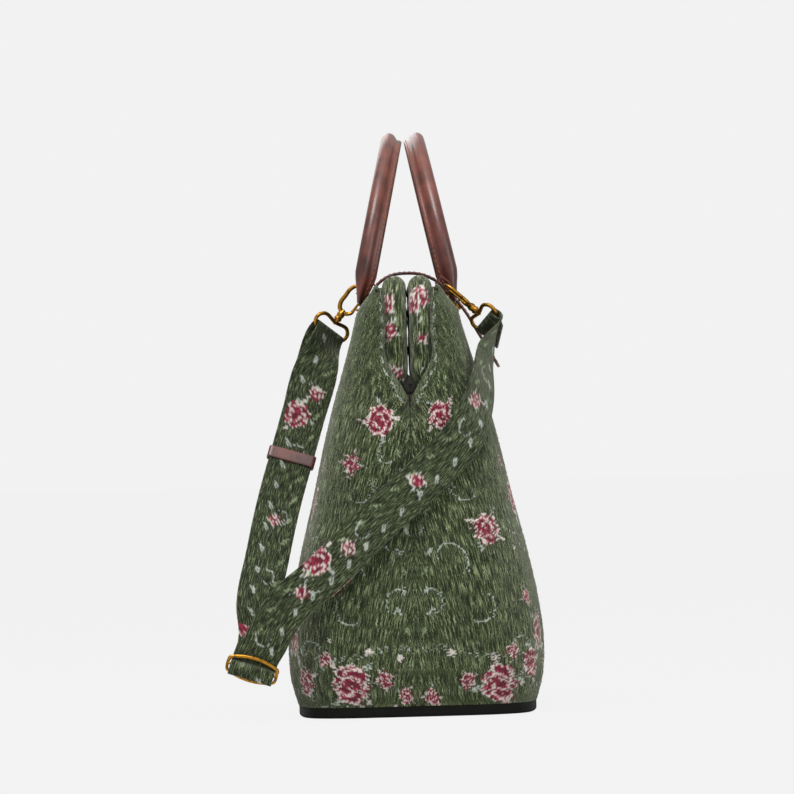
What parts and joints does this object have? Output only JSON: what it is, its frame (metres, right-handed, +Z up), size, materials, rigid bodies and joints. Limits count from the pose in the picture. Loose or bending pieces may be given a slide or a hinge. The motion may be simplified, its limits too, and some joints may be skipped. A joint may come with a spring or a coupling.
{
  "type": "travel bag",
  "caption": "Soft carpet bag with a hinged mouth frame, rolled leather handles, a leather closure strap and a clipped shoulder strap with a slide.",
  "frame": {"origin": "on the floor at the centre of the base", "axes": "+Z up, +X along the bag's length, -Y towards its front"},
  "size_m": [0.4893, 0.2765, 0.5084],
  "materials": {
    "chenille": "green chenille tapestry with roses and scrolls",
    "base_leather": "dark pebbled leather",
    "board": "stiff fibre board",
    "lining_cloth": "plain woven lining",
    "frame_steel": "plain steel bar",
    "brown_leather": "glossy brown leather",
    "antique_brass": "antique brass"
  },
  "bodies": {
    "bag": {"base_panel": "base_leather", "base_board": "board", "lining": "lining_cloth", "front_panel": "chenille", "back_panel": "chenille", "left_hinge_rivet": "frame_steel", "right_hinge_rivet": "frame_steel", "shoulder_strap": "chenille", "strap_slider": "antique_brass"},
    "front_frame": {"front_frame_bar": "frame_steel", "front_frame_sleeve": "chenille", "front_hook_loops": "brown_leather", "front_hook_eye": "antique_brass", "snap_socket": "antique_brass"},
    "back_frame": {"back_frame_bar": "frame_steel", "back_frame_sleeve": "chenille", "back_hook_loops": "brown_leather", "back_hook_eye": "antique_brass"},
    "front_handle": {"front_handle": "brown_leather"},
    "back_handle": {"back_handle": "brown_leather"},
    "closure_strap": {"closure_strap": "brown_leather", "snap_stud": "antique_brass"},
    "front_claw": {"front_hook_claw": "antique_brass", "front_hook_pin": "antique_brass"},
    "back_claw": {"back_hook_claw": "antique_brass", "back_hook_pin": "antique_brass"},
    "front_gate": {"front_hook_gate": "antique_brass"},
    "back_gate": {"back_hook_gate": "antique_brass"},
    "strap_keeper": {"strap_keeper": "brown_leather"}
  },
  "joints": [
    {"name": "front_frame_swing", "type": "hinge", "parent": "bag", "child": "front_frame", "pos_m": [0, 0, 0.284], "axis": [1, 0, 0], "range_deg": [0, 35], "deforming": ["front_panel", "shoulder_strap"]},
    {"name": "back_frame_swing", "type": "hinge", "parent": "bag", "child": "back_frame", "pos_m": [0, 0, 0.284], "axis": [-1, 0, 0], "range_deg": [0, 35], "deforming": ["back_panel", "shoulder_strap"]},
    {"name": "closure_lift", "type": "hinge", "parent": "back_frame", "child": "closure_strap", "pos_m": [0, 0.0308, 0.3668], "axis": [-1, 0, 0], "range_deg": [0, 106]},
    {"name": "front_handle_swing", "type": "hinge", "parent": "front_frame", "child": "front_handle", "pos_m": [0, -0.041, 0.3587], "axis": [1, 0, 0], "range_deg": [0, 90]},
    {"name": "back_handle_swing", "type": "hinge", "parent": "back_frame", "child": "back_handle", "pos_m": [0, 0.041, 0.3587], "axis": [-1, 0, 0], "range_deg": [0, 90]},
    {"name": "front_hook_swivel", "type": "hinge", "parent": "front_frame", "child": "front_claw", "pos_m": [-0.146, -0.05822, 0.34925], "axis": [0, 0.7507, 0.6606], "range_deg": [-12, 12]},
    {"name": "back_hook_swivel", "type": "hinge", "parent": "back_frame", "child": "back_claw", "pos_m": [-0.1, 0.06016, 0.34563], "axis": [0, -0.6198, 0.7848], "range_deg": [-12, 12]},
    {"name": "front_gate_press", "type": "hinge", "parent": "front_claw", "child": "front_gate", "pos_m": [-0.1394, -0.04906, 0.3558], "axis": [0.1701, -0.651, 0.7398], "range_deg": [0, 22], "stiffness_Nm_per_rad": 0.02},
    {"name": "back_gate_press", "type": "hinge", "parent": "back_claw", "child": "back_gate", "pos_m": [-0.1, 0.04795, 0.35026], "axis": [-1, 0, 0], "range_deg": [0, 22], "stiffness_Nm_per_rad": 0.02},
    {"name": "keeper_slide", "type": "slide", "parent": "bag", "child": "strap_keeper", "axis": [0.4485, -0.2585, 0.8556], "range_m": [-0.015, 0.015]}
  ],
  "couplings": [
    {"joint": "back_frame_swing", "follows": "front_frame_swing", "ratio": 1},
    {"joint": "closure_lift", "follows": "front_frame_swing", "ratio": 3}
  ]
}
